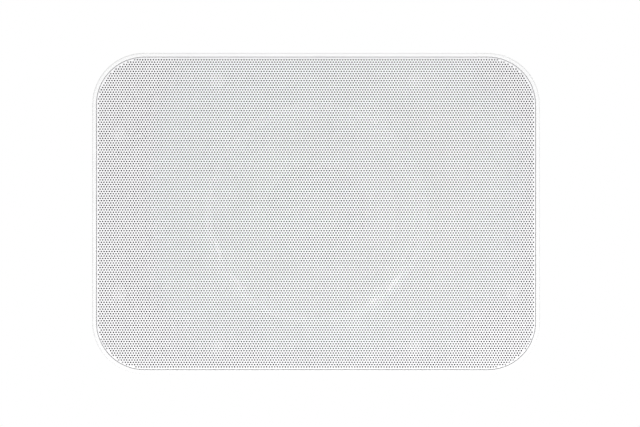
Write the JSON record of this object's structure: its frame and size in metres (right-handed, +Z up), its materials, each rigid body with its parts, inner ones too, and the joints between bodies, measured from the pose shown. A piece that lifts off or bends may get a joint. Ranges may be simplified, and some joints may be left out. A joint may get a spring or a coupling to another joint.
{
  "type": "surface-mount speaker",
  "caption": "Wall-mounted loudspeaker: tapered white cabinet behind a full-face perforated steel grille, coaxial driver inside, binding posts and a tilting wall bracket behind.",
  "frame": {"origin": "centre of the wall bracket's back face, on the wall", "axes": "+X to the right along the long side as seen from the front, +Y into the wall, +Z up; the grille faces -Y"},
  "size_m": [0.336, 0.204, 0.241],
  "materials": {
    "white_coated_steel": "fine satin powder coat",
    "white_moulded_abs": "fine spark texture",
    "white_bracket_steel": "satin powder coat",
    "grey_moulded_abs": "matte moulded",
    "black_moulded_abs": "matte moulded",
    "gloss_grey_trim": "polished",
    "closed_cell_foam": "matte foam",
    "nickel_plate": "dull nickel plate",
    "black_zinc_steel": "black zinc",
    "grey_zinc_steel": "grey zinc",
    "grey_coated_steel": "satin grey coat",
    "zinc_plated_steel": "bright zinc",
    "butyl_rubber": "satin grey rubber",
    "cone_polymer": "satin polymer",
    "spider_cloth": "resin-dipped cloth",
    "former_film": "amber film",
    "copper_wire": "enamelled copper",
    "ferrite": "dull ferrite",
    "dome_silk": "coated silk",
    "turned_aluminium": "turned",
    "board_laminate": "solder resist",
    "capacitor_sleeve": "shrink sleeve",
    "cement_ceramic": "cement body",
    "gold_plate": "gold flash",
    "insert_brass": "knurled brass",
    "red_polycarbonate": "moulded",
    "black_polycarbonate": "moulded",
    "nylon": "natural nylon"
  },
  "bodies": {
    "wall_mount": {"wall_bracket": "white_bracket_steel", "pivot_bolt": "zinc_plated_steel", "pivot_nut": "zinc_plated_steel", "pivot_washers": "nylon"},
    "speaker": {"baffle_gasket": "closed_cell_foam", "baffle_screws": "grey_zinc_steel", "board_screws": "zinc_plated_steel", "bracket_screws": "zinc_plated_steel", "cabinet": "white_moulded_abs", "crossover_board": "board_laminate", "crossover_resistor": "cement_ceramic", "driver_basket": "grey_coated_steel", "driver_gasket": "closed_cell_foam", "driver_screws": "grey_zinc_steel", "ferrite_magnet": "ferrite", "front_baffle": "grey_moulded_abs", "grille": "white_coated_steel", "grille_magnet_1": "nickel_plate", "grille_magnet_2": "nickel_plate", "grille_magnet_3": "nickel_plate", "grille_magnet_4": "nickel_plate", "grille_magnet_5": "nickel_plate", "grille_magnet_6": "nickel_plate", "grille_magnet_7": "nickel_plate", "grille_magnet_8": "nickel_plate", "inductor_bobbin": "black_moulded_abs", "inductor_winding": "copper_wire", "negative_collar": "black_polycarbonate", "negative_post": "gold_plate", "pole_yoke": "zinc_plated_steel", "positive_collar": "red_polycarbonate", "positive_post": "gold_plate", "solder_tags": "gold_plate", "speaker_bracket": "white_bracket_steel", "spider": "spider_cloth", "terminal_cup": "black_moulded_abs", "terminal_gasket": "closed_cell_foam", "terminal_hex_nuts": "zinc_plated_steel", "terminal_screws": "black_zinc_steel", "threaded_inserts": "insert_brass", "top_plate": "zinc_plated_steel", "tweeter_bolt": "zinc_plated_steel", "tweeter_capacitor": "capacitor_sleeve", "tweeter_cup": "turned_aluminium", "tweeter_dome": "dome_silk", "tweeter_magnet": "nickel_plate", "tweeter_pole_tip": "zinc_plated_steel", "tweeter_post": "turned_aluminium", "tweeter_pot": "zinc_plated_steel", "tweeter_voice_coil": "copper_wire", "tweeter_waveguide": "grey_moulded_abs", "woofer_capacitor": "capacitor_sleeve", "woofer_surround": "butyl_rubber", "woofer_trim_ring": "gloss_grey_trim"},
    "cone": {"woofer_cone": "cone_polymer", "voice_coil_former": "former_film", "voice_coil_winding": "copper_wire"},
    "positive_nut": {"positive_thumb_nut": "red_polycarbonate"},
    "negative_nut": {"negative_thumb_nut": "black_polycarbonate"}
  },
  "joints": [
    {"name": "tilt", "type": "hinge", "parent": "wall_mount", "child": "speaker", "pos_m": [0, -0.022, 0], "axis": [1, 0, 0], "range_deg": [-25, 25]},
    {"name": "cone_travel", "type": "slide", "parent": "speaker", "child": "cone", "axis": [0, -1, 0], "range_m": [-0.004, 0.004], "stiffness_N_per_m": 1200, "deforming": ["woofer_surround", "spider"]},
    {"name": "positive_nut_turn", "type": "hinge", "parent": "speaker", "child": "positive_nut", "pos_m": [0.074, -0.05, 0.014], "axis": [0, 1, 0], "range_deg": [0, 1440]},
    {"name": "negative_nut_turn", "type": "hinge", "parent": "speaker", "child": "negative_nut", "pos_m": [0.074, -0.05, -0.014], "axis": [0, 1, 0], "range_deg": [0, 1440]}
  ]
}
